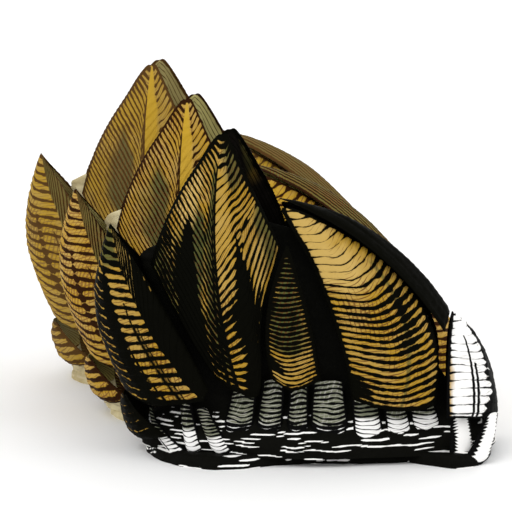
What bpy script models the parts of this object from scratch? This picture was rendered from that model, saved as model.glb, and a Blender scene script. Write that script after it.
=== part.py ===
"""Barnacle cluster: three goose barnacles, each a crown of pointed shell plates on a short stalk,
grown together on one cut-off foot. Blender 4.5, metres, +Z up. The origin is in the middle of the
foot's flat underside, which rests on the ground at z = 0.

Each barnacle is laid out in millimetres in its own crown frame: the origin is where the middle of
its stalk meets the ground, +X runs from the rostrum to the carina, and -Y is its front side.
The rostrum and carina close the two narrow ends; scuta, terga and upper latera come in pairs,
one on each side; a whorl of small basal plates rings the neck of the stalk.
"""

import math
from typing import NamedTuple

import bmesh
import bpy
from mathutils import Vector

MM = 0.001

# Where each barnacle stands, as its crown frame's origin in mm.
CROWNS = {
    "front": (4.5, -19.5),
    "middle": (0.0, 0.0),
    "rear": (-4.5, 19.5),
}

# The common foot that the three stalks grow from.
FOOT_HEIGHT = 1.6
FOOT_CENTRE = 0.8
FOOT_HALF_WIDTH = 22.2
FOOT_HALF_DEPTH = 10.7
FOOT_TAPER = 0.94
FOOT_SIDES = 40
REST_GAP = 0.3

# Stalk and mantle: height, left end, right end and half depth of each level.
BODY_LEVELS = (
    (FOOT_HEIGHT + REST_GAP, -20.4, 21.8, 9.4),
    (3.0, -19.6, 21.0, 7.6),
    (5.0, -18.6, 20.0, 6.9),
    (8.0, -17.4, 17.4, 5.7),
    (11.0, -17.4, 15.4, 5.4),
    (16.0, -19.0, 13.0, 5.1),
    (21.5, -19.4, 9.2, 3.5),
    (25.0, -18.4, 5.6, 1.8),
    (28.0, -15.0, -1.0, 0.7),
    (30.0, -13.6, -8.0, 0.3),
)
BODY_SIDES = 16

# The ring of the neck that the basal plates lie on, at its foot and at its top.
COLLAR_CENTRE = 0.7
COLLAR_LOW = (3.0, 21.4, 8.8)
COLLAR_HIGH = (10.6, 18.9, 6.8)
COLLAR_DOME = 0.5
COLLAR_SAG = 1.0
COLLAR_TOP_SHARE = 0.9
COLLAR_THICKNESS = 0.8
# Angle round the neck from +X, and width in degrees, of the basal plates on the front side.
BASAL_PLATES = (
    (-137.0, 14.5),
    (-120.0, 14.0),
    (-87.0, 12.5),
    (-49.0, 12.5),
)
BASAL_GRID = (4, 3)

SHELL_THICKNESS = 1.0
TIP_THICKNESS_SHARE = 0.12
FULL_THICKNESS_AT = 0.42


class Stop(NamedTuple):
    """A point of a plate's lower margin, and how far the growth path that leads to it from the
    apex swings out halfway. At a corner the margin turns sharply, which leaves a ridge."""

    point: tuple
    bow: tuple
    corner: bool = False


class Plate(NamedTuple):
    """A shell plate, which grew from its apex by adding to its lower margin."""

    apex: tuple
    margin: tuple
    rows: int = 6
    columns: int = 2
    tip: float = 0.04
    thickness: float = SHELL_THICKNESS


def both_sides(half):
    """A whole margin, from the half that runs from the keel to the front shoulder."""
    back = [
        Stop((x, -y, z), (bow_x, -bow_y, bow_z), corner)
        for (x, y, z), (bow_x, bow_y, bow_z), corner in reversed(half[1:])
    ]
    return tuple(back) + tuple(half)


ROSTRUM = Plate(
    apex=(-25.2, 0.0, 29.5),
    margin=both_sides(
        (
            Stop((-23.2, 0.0, 7.7), (-2.8, 0.0, 0.0)),
            Stop((-20.2, -5.6, 7.4), (-2.9, -1.4, 0.0)),
            Stop((-13.6, -9.4, 8.4), (-1.9, -2.2, 0.0), corner=True),
            Stop((-12.9, -9.0, 9.8), (0.6, -1.4, 0.2)),
        )
    ),
    rows=5,
)

SCUTUM = Plate(
    apex=(-11.1, -1.4, 41.8),
    margin=(
        Stop((-20.2, -1.7, 24.2), (-1.3, 0.0, 0.3)),
        Stop((-15.6, -5.6, 16.0), (-0.6, -1.0, 0.0)),
        Stop((-11.8, -7.7, 10.6), (-1.4, -1.5, 0.0)),
        Stop((-8.8, -9.4, 9.4), (-1.9, -1.8, 0.0), corner=True),
        Stop((-6.4, -9.0, 9.6), (-0.2, -1.9, 0.0)),
        Stop((-6.3, -8.0, 18.6), (0.4, -1.5, 0.0)),
        Stop((-3.9, -5.6, 27.4), (0.2, -1.0, 0.3)),
    ),
    rows=5,
)

# The right scutum reaches past the left one along the slit between them.
RIGHT_SCUTUM = SCUTUM._replace(
    apex=(-10.0, -1.4, 41.9),
    margin=(*SCUTUM.margin[:-1], Stop((-2.8, -4.8, 27.0), (1.2, -0.9, 0.3))),
)

UPPER_LATUS = Plate(
    apex=(-3.1, -7.2, 28.2),
    margin=(
        Stop((-5.2, -9.0, 11.2), (-1.5, -0.7, 0.0)),
        Stop((-2.4, -9.3, 9.7), (-0.5, -0.9, 0.0)),
        Stop((1.2, -9.0, 11.2), (0.5, -0.5, 0.0)),
    ),
    columns=3,
)

TERGUM = Plate(
    apex=(-3.4, -1.6, 31.6),
    margin=(
        Stop((5.4, -9.2, 8.6), (1.8, -1.7, 0.0)),
        Stop((8.2, -9.6, 7.6), (2.9, -2.0, -0.3)),
        Stop((11.2, -9.5, 7.2), (4.4, -1.6, -0.3)),
        Stop((13.8, -8.9, 7.2), (5.6, 0.2, 0.8)),
        Stop((15.6, -7.7, 7.6), (6.4, 2.3, 1.9)),
    ),
    rows=5,
)

CARINA = Plate(
    apex=(-4.4, 0.0, 32.4),
    margin=tuple(
        reversed(
            both_sides(
                (
                    Stop((17.4, 0.0, 18.0), (1.2, 0.0, 3.2)),
                    Stop((16.7, -4.0, 16.2), (1.2, -1.2, 2.7)),
                )
            )
        )
    ),
    columns=1,
    thickness=0.6,
)

SUB_CARINA = Plate(
    apex=(17.5, 0.0, 17.9),
    margin=tuple(
        reversed(
            both_sides(
                (
                    Stop((23.3, 0.0, 4.4), (1.9, 0.0, 0.6)),
                    Stop((21.4, -5.6, 5.4), (1.6, -1.4, 0.6)),
                    Stop((17.0, -8.8, 6.2), (-0.2, -1.8, 0.8)),
                )
            )
        )
    ),
    rows=5,
)

SUB_ROSTRUM = Plate(
    apex=(-23.5, 0.0, 7.7),
    margin=both_sides(
        (
            Stop((-22.6, 0.0, 2.2), (-0.9, 0.0, 0.3)),
            Stop((-20.9, -4.8, 2.4), (-1.0, -1.0, 0.3)),
            Stop((-18.2, -7.4, 3.4), (-1.0, -1.4, 0.4)),
        )
    ),
    rows=3,
    tip=0.12,
    thickness=0.8,
)

UNPAIRED = {
    "rostrum": ROSTRUM,
    "carina": CARINA,
    "sub_rostrum": SUB_ROSTRUM,
    "sub_carina": SUB_CARINA,
}
# The left and the right plate of each pair, both as they would stand on the front side.
PAIRED = {
    "scutum": (SCUTUM, RIGHT_SCUTUM),
    "tergum": (TERGUM, TERGUM),
    "upper_latus": (UPPER_LATUS, UPPER_LATUS),
}

# Principled BSDF settings of each finish: base colour, roughness.
FINISHES = {
    "front_shell": ((0.50, 0.31, 0.06), 0.55),
    "middle_shell": ((0.58, 0.38, 0.08), 0.55),
    "rear_shell": ((0.42, 0.29, 0.08), 0.60),
    "white_shell": ((0.82, 0.80, 0.74), 0.55),
    "stalk": ((0.30, 0.27, 0.22), 0.70),
}


def clear_scene():
    for scene_object in list(bpy.data.objects):
        bpy.data.objects.remove(scene_object)


def new_collection(name):
    collection = bpy.data.collections.new(name)
    bpy.context.scene.collection.children.link(collection)
    return collection


def make_material(name):
    colour, roughness = FINISHES[name]
    material = bpy.data.materials.new(name)
    material.use_nodes = True
    shader = material.node_tree.nodes["Principled BSDF"]
    shader.inputs["Base Color"].default_value = (*colour, 1.0)
    shader.inputs["Roughness"].default_value = roughness
    material.diffuse_color = (*colour, 1.0)
    return material


def add_object(name, bm, collection, material):
    """A smooth-shaded object from a bmesh in millimetres."""
    bmesh.ops.scale(bm, vec=(MM, MM, MM), verts=bm.verts)
    mesh = bpy.data.meshes.new(name)
    bm.to_mesh(mesh)
    bm.free()
    mesh.materials.append(material)
    mesh.shade_smooth()
    mesh.set_sharp_from_angle(angle=math.radians(40))
    made = bpy.data.objects.new(name, mesh)
    collection.objects.link(made)
    return made


def hermite(start, start_slope, end, end_slope, share):
    """Cubic from start to end, with these slopes at its ends."""
    squared, cubed = share**2, share**3
    return (
        start * (2 * cubed - 3 * squared + 1)
        + start_slope * (cubed - 2 * squared + share)
        + end * (3 * squared - 2 * cubed)
        + end_slope * (cubed - squared)
    )


def slope_at(stops, vectors, index):
    """The margin's slope at one of its stops: none at a corner, so that it turns there."""
    if stops[index].corner:
        return Vector((0, 0, 0))
    before, after = max(index - 1, 0), min(index + 1, len(stops) - 1)
    return (vectors[after] - vectors[before]) / (after - before)


def margin_at(stops, place):
    """Point and bow of the margin at this place, counted in stops from its first one."""
    index = min(int(place), len(stops) - 2)
    found = []
    for vectors in ([Vector(s.point) for s in stops], [Vector(s.bow) for s in stops]):
        slopes = [slope_at(stops, vectors, i) for i in (index, index + 1)]
        found.append(
            hermite(vectors[index], slopes[0], vectors[index + 1], slopes[1], place - index)
        )
    return found


def grown_point(plate, place, growth):
    """The point of a plate's outer face on the growth line that is this share of the way down."""
    apex = Vector(plate.apex)
    point, bow = margin_at(plate.margin, place)
    return apex + (point - apex) * growth + bow * (4 * growth * (1 - growth))


def add_thickness(plate_object, growths, thickness):
    """Solidify inwards, thinning towards the apex."""
    group = plate_object.vertex_groups.new(name="thickness")
    for index, growth in enumerate(growths):
        group.add([index], min(1.0, growth / FULL_THICKNESS_AT), "REPLACE")
    solidify = plate_object.modifiers.new("shell", "SOLIDIFY")
    solidify.thickness = thickness * MM
    solidify.offset = -1
    solidify.vertex_group = "thickness"
    solidify.thickness_vertex_group = TIP_THICKNESS_SHARE


def grow_plate(name, plate, collection, material, mirrored=False):
    """A plate as a grid whose rows are growth lines, mirrored in y for the back of the crown."""
    stretches = len(plate.margin) - 1
    bm = bmesh.new()
    bmesh.ops.create_grid(
        bm, x_segments=stretches * plate.columns, y_segments=plate.rows, size=1
    )
    growths = []
    for vertex in bm.verts:
        place = (vertex.co.x + 1) / 2 * stretches
        growth = plate.tip + (1 - plate.tip) * (1 - vertex.co.y) / 2
        growths.append(growth)
        vertex.co = grown_point(plate, place, growth)
        if mirrored:
            vertex.co.y = -vertex.co.y
    if mirrored:
        bmesh.ops.reverse_faces(bm, faces=bm.faces)
    made = add_object(name, bm, collection, material)
    add_thickness(made, growths, plate.thickness)
    return made


def collar_point(angle, share, out):
    """A point this share of the way up the neck, standing out from it by out."""
    low, high = COLLAR_LOW, COLLAR_HIGH
    height, half_width, half_depth = (a + (b - a) * share for a, b in zip(low, high))
    return Vector(
        (
            COLLAR_CENTRE + (half_width + out) * math.cos(angle),
            (half_depth + out) * math.sin(angle),
            height,
        )
    )


def basal_plate(name, angle, width, collection, material):
    """A small domed plate on the neck, a little narrower at its top, with a rounded lower edge."""
    columns, rows = BASAL_GRID
    bm = bmesh.new()
    bmesh.ops.create_grid(bm, x_segments=columns, y_segments=rows, size=1)
    for vertex in bm.verts:
        across, share = vertex.co.x, (vertex.co.y + 1) / 2
        taper = 1 + (COLLAR_TOP_SHARE - 1) * share
        dome = COLLAR_DOME * (1 - across**2) * (1 - share**2)
        place = math.radians(angle + across * width / 2 * taper)
        vertex.co = collar_point(place, share, dome)
        vertex.co.z += COLLAR_SAG * across**2 * (1 - share)
    made = add_object(name, bm, collection, material)
    solidify = made.modifiers.new("shell", "SOLIDIFY")
    solidify.thickness = COLLAR_THICKNESS * MM
    solidify.offset = -1
    return made


def make_body(name, collection, material):
    """Stalk and mantle in one closed piece: a globe whose rings take the body's levels."""
    bm = bmesh.new()
    bmesh.ops.create_uvsphere(
        bm, u_segments=BODY_SIDES, v_segments=len(BODY_LEVELS) + 1, radius=1
    )
    for vertex in bm.verts:
        level = round((math.asin(vertex.co.z) / math.pi + 0.5) * (len(BODY_LEVELS) + 1))
        ring = BODY_LEVELS[min(max(level, 1), len(BODY_LEVELS)) - 1]
        height, left, right, half_depth = ring
        around = Vector((vertex.co.x, vertex.co.y))
        if around.length > MM:
            around.normalize()
        vertex.co = (
            (left + right) / 2 + (right - left) / 2 * around.x,
            half_depth * around.y,
            height,
        )
    return add_object(name, bm, collection, material)


def stand_at(scene_object, crown):
    """Moves an object that is laid out in the crown frame to where that barnacle stands."""
    scene_object.location = Vector((*CROWNS[crown], 0)) * MM


def foot_disc(name, crown, collection, material):
    bm = bmesh.new()
    bmesh.ops.create_cone(
        bm,
        cap_ends=True,
        segments=FOOT_SIDES,
        radius1=1,
        radius2=FOOT_TAPER,
        depth=FOOT_HEIGHT,
    )
    bmesh.ops.scale(bm, vec=(FOOT_HALF_WIDTH, FOOT_HALF_DEPTH, 1), verts=bm.verts)
    bmesh.ops.translate(bm, vec=(FOOT_CENTRE, 0, FOOT_HEIGHT / 2), verts=bm.verts)
    disc = add_object(name, bm, collection, material)
    stand_at(disc, crown)
    return disc


def make_foot(collection, helpers, material):
    """The three stalks' feet grown into one pad, cut off flat underneath."""
    first, *others = CROWNS
    foot = foot_disc("foot", first, collection, material)
    for crown in others:
        disc = foot_disc("foot_" + crown, crown, helpers, material)
        disc.hide_render = True
        disc.display_type = "WIRE"
        union = foot.modifiers.new("join_" + crown, "BOOLEAN")
        union.operation = "UNION"
        union.object = disc
    return foot


def make_crown(crown, collection, materials):
    shell = materials[crown + "_shell"]
    pieces = [make_body("stalk_" + crown, collection, materials["stalk"])]
    for name, plate in UNPAIRED.items():
        white = name == "sub_carina" and crown == "front"
        finish = materials["white_shell"] if white else shell
        pieces.append(grow_plate(f"{name}_{crown}", plate, collection, finish))
    for name, pair in PAIRED.items():
        for side, plate in zip(("left", "right"), pair):
            piece_name = f"{name}_{side}_{crown}"
            mirrored = side == "right"
            pieces.append(grow_plate(piece_name, plate, collection, shell, mirrored))
    for number, (angle, width) in enumerate(BASAL_PLATES, start=1):
        for side, sign in (("left", 1), ("right", -1)):
            piece_name = f"basal_{side}_{number}_{crown}"
            pieces.append(
                basal_plate(piece_name, sign * angle, width, collection, shell)
            )
    middle = bpy.data.objects.new("crown_" + crown, None)
    collection.objects.link(middle)
    stand_at(middle, crown)
    for piece in pieces:
        piece.parent = middle


def main():
    clear_scene()
    cluster = new_collection("barnacle_cluster")
    helpers = new_collection("cutters")
    materials = {name: make_material(name) for name in FINISHES}
    make_foot(cluster, helpers, materials["stalk"])
    for crown in CROWNS:
        make_crown(crown, cluster, materials)


main()
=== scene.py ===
"""Barnacle cluster, dressed: detailed shell plates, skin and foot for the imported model, with a pale
studio set. Lengths are millimetres until a mesh is made; the crown frame is the model's, with its
origin on the ground under the middle of a barnacle, +X from rostrum to carina and -Y to the front.
"""
import math
from typing import NamedTuple

import bpy
import numpy as np
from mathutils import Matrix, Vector


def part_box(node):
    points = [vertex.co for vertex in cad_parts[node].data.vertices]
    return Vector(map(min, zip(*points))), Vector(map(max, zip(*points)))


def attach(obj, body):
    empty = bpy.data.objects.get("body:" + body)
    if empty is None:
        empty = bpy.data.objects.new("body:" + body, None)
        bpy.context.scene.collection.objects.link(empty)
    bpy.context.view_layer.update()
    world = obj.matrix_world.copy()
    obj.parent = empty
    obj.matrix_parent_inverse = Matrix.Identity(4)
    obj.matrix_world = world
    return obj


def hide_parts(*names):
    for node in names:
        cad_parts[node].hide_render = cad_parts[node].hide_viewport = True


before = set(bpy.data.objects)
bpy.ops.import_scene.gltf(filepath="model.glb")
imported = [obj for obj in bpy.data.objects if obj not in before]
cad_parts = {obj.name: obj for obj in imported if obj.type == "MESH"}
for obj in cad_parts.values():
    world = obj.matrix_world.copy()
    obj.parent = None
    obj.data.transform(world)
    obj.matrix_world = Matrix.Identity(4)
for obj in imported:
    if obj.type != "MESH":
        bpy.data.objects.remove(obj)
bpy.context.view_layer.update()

MM = 0.001
CROWNS = ("front", "middle", "rear")
# Where the middle of a stalk's box lies on X in its crown frame.
STALK_MIDDLE = 0.7


def crown_origin(crown):
    """A barnacle's crown frame in mm, from the box of its stalk."""
    low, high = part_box("stalk_" + crown)
    return np.array([(low[0] + high[0]) / 2 / MM - STALK_MIDDLE, (low[1] + high[1]) / 2 / MM, 0.0])


# ---- noise

# The usual numbers for a hash made from a sine.
HASH_STEPS = np.array([127.1, 311.7, 74.7])
HASH_SEED_STEP = 19.19
HASH_SCALE = 43758.5453


def points_at(*coordinates):
    """Points from grids, rows or columns of their coordinates."""
    return np.stack(np.broadcast_arrays(*coordinates), axis=-1)


def lattice(cells, seed):
    """A fixed pseudo-random number in 0..1 for each integer cell."""
    mixed = cells @ HASH_STEPS[: cells.shape[-1]] + seed * HASH_SEED_STEP
    return np.modf(np.abs(np.sin(mixed) * HASH_SCALE))[0]


def noise(points, scale, seed=0):
    """Smooth value noise in -1..1, with features of about one unit over scale."""
    places = np.asarray(points, float) * scale
    cell = np.floor(places)
    part = places - cell
    part = part * part * part * (part * (part * 6 - 15) + 10)
    total = np.zeros(places.shape[:-1])
    for corner in np.ndindex(*(2,) * places.shape[-1]):
        share = np.prod(np.where(np.array(corner) == 1, part, 1 - part), axis=-1)
        total += share * lattice(cell + corner, seed)
    return total * 2 - 1


def layered_noise(points, layers, seed):
    """The sum of layers of noise, each an amount and a scale. Their seeds count up."""
    return sum(amount * noise(points, scale, seed + i) for i, (amount, scale) in enumerate(layers))


def soft_step(value, low, high):
    """Rises from 0 at low to 1 at high, and is level at both ends."""
    share = np.clip((value - low) / (high - low), 0, 1)
    return share * share * (3 - 2 * share)


# ---- plates


class Stop(NamedTuple):
    """A point of a plate's lower margin, how far the growth path to it swings out halfway, and the
    pace of growth along that path. At a corner the margin turns sharply, which leaves a ridge."""

    point: tuple
    bow: tuple
    pace: float = 1.0
    corner: bool = False


class Mark(NamedTuple):
    """A soft streak of one colouring channel that follows the growth of the shell: the growths it
    starts and ends at, where it lies on the margin at each, and its half width there. One number
    in place of two holds for both. Places on a margin are counted in stops. The channels are the
    dark share of each growth ring (its lines, which large amounts turn into solid painted shadow),
    olive, pale and lining (colours, though the pale strip on a scutum's ridge is a painted
    highlight and the front's near-black lining is painted shade), stripe (lengthwise lines in place
    of rings), coarse (every second line left out) and seam (a thin dark line, which ignores the
    amount and the softness)."""

    channel: str
    growths: tuple
    places: tuple | float
    widths: tuple | float
    amount: float = 1.0
    softness: float = 0.35


class Shell(NamedTuple):
    """How the shell is built up: the number of its growth rings, its mesh columns and rows, its
    thickness, the height of its rings and of its lumps in mm, and how far a ring wavers, as a
    share of the way to the next."""

    rings: float
    size: tuple
    thickness: float = 1.0
    relief: float = 0.14
    lumps: float = 0.16
    waver: float = 0.07


class Plate(NamedTuple):
    """A plate grown from its apex to its margin. Its mesh starts at the growth called its tip. The
    paces of its margin take full effect once its growth has settled. Its mesh columns stand closer
    together where the crowd, a list of (share of the columns, place on the margin), rises slowly.
    Blunt is the half width in mm that its tip is rounded off to."""

    apex: tuple
    margin: tuple
    shell: Shell
    tip: float = 0.012
    crowd: tuple = ()
    settled: float = 0.001
    blunt: float = 0.0


def mirrored_stop(stop):
    """The same stop on the other side of the crown."""
    (x, y, z), (bow_x, bow_y, bow_z) = stop.point, stop.bow
    return stop._replace(point=(x, -y, z), bow=(bow_x, -bow_y, bow_z))


def both_sides(*half):
    """A whole margin, from the half that runs from the keel to the front shoulder."""
    return (*map(mirrored_stop, half[:0:-1]), *half)


def curve_through(values, places, corners=()):
    """A smooth curve through rows of values, at places counted in rows, that stops at corners."""
    values = np.asarray(values, float)
    slopes = np.gradient(values, axis=0)
    slopes[list(corners)] = 0.0
    index = np.clip(places.astype(int), 0, len(values) - 2)
    share = (places - index)[:, None]
    squared, cubed = share**2, share**3
    return (
        values[index] * (2 * cubed - 3 * squared + 1)
        + slopes[index] * (cubed - 2 * squared + share)
        + values[index + 1] * (3 * squared - 2 * cubed)
        + slopes[index + 1] * (cubed - squared)
    )


# A blunt tip has its full width from the first of these growths, and has blended in by the second.
BLUNT_GROWTHS = (0.02, 0.3)


def grown_surface(plate, places, growths):
    """The plate's smooth outer face: a grid of points whose rows are growth lines."""
    corners = [i for i, stop in enumerate(plate.margin) if stop.corner]
    points = curve_through([stop.point for stop in plate.margin], places, corners)
    bows = curve_through([stop.bow for stop in plate.margin], places, corners)
    paces = curve_through([[stop.pace] for stop in plate.margin], places, corners)
    settled = soft_step(growths, 0.0, plate.settled)[:, None]
    share = (growths[:, None] ** (1 + (paces.T - 1) * settled))[..., None]
    apex = np.array(plate.apex, float)
    grid = apex + (points - apex) * share + bows * (4 * share * (1 - share))

    near_tip = 1 - np.clip(growths / BLUNT_GROWTHS[0], 0, 1)
    swing = plate.blunt * np.sqrt(1 - near_tip**2) * (1 - soft_step(growths, *BLUNT_GROWTHS))
    sideways = (points[-1] - points[0]) / np.linalg.norm(points[-1] - points[0])
    across = places / places[-1] * 2 - 1
    return grid + (swing[:, None] * across[None, :])[..., None] * sideways


def grid_normals(grid):
    """The direction that each point of a grid faces."""
    normal = np.cross(np.gradient(grid, axis=1), -np.gradient(grid, axis=0))
    return normal / np.maximum(np.linalg.norm(normal, axis=-1, keepdims=True), 1e-9)


def edge_distances(grid):
    """How far each grid point is from the first column, the last column and the last row."""
    step = np.linalg.norm(np.diff(grid, axis=1), axis=-1)
    across = np.concatenate([np.zeros((len(grid), 1)), np.cumsum(step, axis=1)], axis=1)
    drop = np.linalg.norm(np.diff(grid, axis=0), axis=-1)
    down = np.concatenate([np.zeros((1, grid.shape[1])), np.cumsum(drop, axis=0)], axis=0)
    return across, across[:, -1:] - across, down[-1:] - down


def half_widths_away(mark, places, growths):
    """How far each point of a plate's grid is from the middle of a mark, in its half widths."""
    middle = np.interp(growths, mark.growths, np.broadcast_to(mark.places, 2))
    width = np.interp(growths, mark.growths, np.broadcast_to(mark.widths, 2))
    return np.abs(places[None, :] - middle[:, None]) / width[:, None]


# How many half widths away from a seam its channel falls to 0.
SEAM_REACH = 4


def seam(mark, places, growths):
    """1 along the middle of a mark, falling evenly to 0 on both sides."""
    inside = (growths > mark.growths[0]) & (growths < mark.growths[1])
    away = half_widths_away(mark, places, growths)
    return inside[:, None] * np.clip(1 - away / SEAM_REACH, 0, 1)


# How much growth a streak's ends fade over, and how much a wobble moves its sides.
STREAK_END = 0.06
SIDE_WOBBLE = 0.6


def streak(mark, places, growths, wobble):
    """How strongly a mark colours each point of a plate's grid, 0..1."""
    away = half_widths_away(mark, places, growths) + wobble * SIDE_WOBBLE
    ends = np.minimum(growths - mark.growths[0], mark.growths[1] - growths) / STREAK_END
    inside = soft_step(ends[:, None] + wobble, -0.5, 0.5)
    return inside * (1 - soft_step(away, 1 - mark.softness, 1 + mark.softness))


# Where a growth ring's lower lip starts and ends, as shares of the ring, and the power that the
# ring swells with.
RING_LIP = (0.78, 0.98)
RING_SWELL = 0.8


def ring_profile(phase):
    """Height of a growth ring, 0..1: it swells towards its lower lip, then drops into a groove."""
    share = np.modf(phase + 0.5)[0]
    return share**RING_SWELL * (1 - soft_step(share, *RING_LIP))


# The slow wander of the rings, counted in rings, its scale, and how many fine ridges a ring has.
SLOW_WANDER = (0.28, 0.2)
FINE_RIDGES = 2.7
# The height of the fine ridges as a share of the rings', and the others' in mm.
FINE_RIDGE_SHARE = 0.10
SCRATCH_HEIGHT = 0.05
GRIT_HEIGHT = 0.035
# Scratches per mm across a plate and along it.
SCRATCHES = (2.2, 0.12)
# The relief fades in between these growths.
RELIEF_GROWTHS = (0.03, 0.22)
# Widths and depths in mm along a plate's edges. The bevel's depth is a share of the thickness.
EDGE_BEVEL = 0.7
BEVEL_SHARE = 0.30
RAGGED_DEPTH = 0.07
RAGGED_WIDTH = 0.8
# The wall's thickness at the edge and at the tip as a share of its full thickness, which it has
# from this far inside the edge, in mm, and from this growth.
SHARP_EDGE_SHARE = 0.35
SHARP_TIP_SHARE = 0.12
WALL_RAMP = 2.2
WALL_GROWTH = 0.42
# The inner face of a shell has one mesh step for this many of the outer face.
INNER_STEP = 4
# The inner face's lengthwise lines are this share of the rings' ink.
INNER_INK = 0.35


def shell_grids(smooth, places, growths, shell, ink_and_shade, marks, seed):
    """Worked outer points, coarser inner points, and the colouring channels of both."""
    normals = grid_normals(smooth)
    left, right, low = edge_distances(smooth)
    side = np.minimum(left, right)
    edge = np.minimum(side, low)

    wander = layered_noise(smooth, (SLOW_WANDER, (shell.waver, 0.7)), seed)
    rings = shell.rings * growths[:, None] + wander
    fade = soft_step(growths, *RELIEF_GROWTHS)[:, None]
    height = shell.relief * ring_profile(rings) * (0.8 + 0.5 * noise(smooth, 0.4, seed + 2))
    fine_rings = np.cos(2 * np.pi * (rings * FINE_RIDGES + 0.4 * wander))
    height += FINE_RIDGE_SHARE * shell.relief * fine_rings
    lengthwise = points_at(left * SCRATCHES[0], low * SCRATCHES[1])
    height += SCRATCH_HEIGHT * noise(lengthwise, 1.0, seed + 5)
    lumps = shell.lumps * noise(smooth, 0.16, seed + 3)
    height += lumps + GRIT_HEIGHT * noise(smooth, 0.9, seed + 4)
    height -= BEVEL_SHARE * shell.thickness * (1 - soft_step(edge, 0.0, EDGE_BEVEL))
    outer = smooth + normals * (fade * height)[..., None]

    sideways = np.gradient(smooth, axis=1)
    sideways /= np.maximum(np.linalg.norm(sideways, axis=-1, keepdims=True), 1e-9)
    ragged = RAGGED_DEPTH * fade * ring_profile(rings + 0.2)
    at_right, at_left = (1 - soft_step(away, 0, RAGGED_WIDTH) for away in (right, left))
    spread = ragged * at_right - ragged * at_left
    outer += sideways * spread[..., None]

    inwards = soft_step(edge, 0.0, WALL_RAMP)
    downwards = soft_step(growths, 0.0, WALL_GROWTH)[:, None]
    wall = shell.thickness * (SHARP_EDGE_SHARE + (1 - SHARP_EDGE_SHARE) * inwards)
    wall *= SHARP_TIP_SHARE + (1 - SHARP_TIP_SHARE) * downwards
    inner = (smooth - normals * wall[..., None])[::INNER_STEP, ::INNER_STEP]

    channels = {
        "rings": rings,
        "across": (left - right) * 0.5,
        "side": side,
        "edge": edge,
        "ink_and_shade": np.full(rings.shape, ink_and_shade),
    }
    for channel in ("olive", "pale", "stripe", "coarse", "lining", "seam"):
        channels[channel] = np.zeros(rings.shape)
    wobble = noise(smooth, 0.45, seed + 6) * 0.6
    for mark in marks:
        if mark.channel == "seam":
            channels["seam"] = np.maximum(channels["seam"], seam(mark, places, growths))
        else:
            channels[mark.channel] += mark.amount * streak(mark, places, growths, wobble)
    return outer, inner, with_inner_face(channels, ink_and_shade)


def with_inner_face(channels, ink_and_shade):
    """The outer face's colouring channels, followed by those of the lined inner face."""
    joined = {
        channel: np.concatenate([values.ravel(), values[::INNER_STEP, ::INNER_STEP].ravel()])
        for channel, values in channels.items()
    }
    inner = slice(channels["rings"].size, None)
    joined["lining"][inner] += 1.0
    joined["ink_and_shade"][inner] = INNER_INK * ink_and_shade
    joined["coarse"][inner] = 0.0
    joined["stripe"][inner] = 1.0
    return joined


def numbered(grid, first=0):
    """The vertex numbers of a grid of points."""
    return first + np.arange(grid[..., 0].size).reshape(grid.shape[:2])


def grid_faces(index, flip):
    """Four-cornered faces between the points of a grid of vertex numbers."""
    a, b = index[:-1, :-1], index[:-1, 1:]
    c, d = index[1:, 1:], index[1:, :-1]
    order = (a, b, c, d) if flip else (a, d, c, b)
    return np.stack([corner.ravel() for corner in order], axis=1).tolist()


def border(index):
    """The border of a grid of vertex numbers, all the way round."""
    return np.concatenate([index[0, :-1], index[:-1, -1], index[-1, :0:-1], index[:0:-1, 0]])


def closed_faces(outer_index, inner_index, flip):
    """Faces of a closed shell from a fine outer grid and a coarser inner one, and of its rim."""
    faces = grid_faces(outer_index, flip) + grid_faces(inner_index, not flip)
    fine, coarse = border(outer_index), border(inner_index)
    rim = []
    for k in range(len(coarse)):
        steps = range(INNER_STEP * k, INNER_STEP * (k + 1) + 1)
        fine_part = [int(fine[step % len(fine)]) for step in steps]
        ring = fine_part + [int(coarse[(k + 1) % len(coarse)]), int(coarse[k])]
        rim.append(ring[::-1] if flip else ring)
    return faces, rim


def set_channels(mesh, channels):
    """Keeps the colouring channels as attributes of the mesh's vertices."""
    for channel, values in channels.items():
        attribute = mesh.attributes.new(channel, "FLOAT", "POINT")
        attribute.data.foreach_set("value", np.asarray(values, np.float32).ravel())


def add_object(name, data):
    """A new object in the scene that shows this mesh, light or camera."""
    thing = bpy.data.objects.new(name, data)
    bpy.context.scene.collection.objects.link(thing)
    return thing


def new_piece(name, points, faces, flat_faces, channels, material):
    """A mesh object in metres, from points in mm, with its colouring channels."""
    mesh = bpy.data.meshes.new(name)
    mesh.from_pydata((points * MM).tolist(), [], faces + flat_faces)
    mesh.update()
    smooth = np.ones(len(mesh.polygons), bool)
    smooth[len(faces):] = False
    mesh.polygons.foreach_set("use_smooth", smooth)
    set_channels(mesh, channels)
    mesh.materials.append(material)
    return add_object(name, mesh)


def dress(piece, node):
    """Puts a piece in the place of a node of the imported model."""
    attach(piece, "root")
    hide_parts(node)


def shell_piece(name, smooth, places, growths, shell, origin, look, marks, seed, mirrored):
    """A closed, worked shell plate over a smooth grid, mirrored for a crown's right side."""
    ink_and_shade = LOOKS[look].line_share
    outer, inner, channels = shell_grids(smooth, places, growths, shell, ink_and_shade, marks, seed)
    points = np.concatenate([outer.reshape(-1, 3), inner.reshape(-1, 3)])
    if mirrored:
        points[:, 1] *= -1
    outer_index = numbered(outer)
    inner_index = numbered(inner, outer_index.size)
    faces, rim = closed_faces(outer_index, inner_index, mirrored)
    return new_piece(name, points + origin, faces, rim, channels, materials[look])


def grow_plate(name, plate, origin, look, marks, seed, mirrored):
    """The piece that shows a plate of the crown."""
    columns, rows = plate.shell.size
    last = len(plate.margin) - 1
    shares, stops = zip((0, 0), *plate.crowd, (1, last))
    places = np.interp(np.linspace(0, 1, columns + 1), shares, stops)
    growths = plate.tip + (1 - plate.tip) * np.linspace(0, 1, rows + 1)
    smooth = grown_surface(plate, places, growths)
    return shell_piece(
        name, smooth, places, growths, plate.shell, origin, look, marks, seed, mirrored
    )


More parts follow.
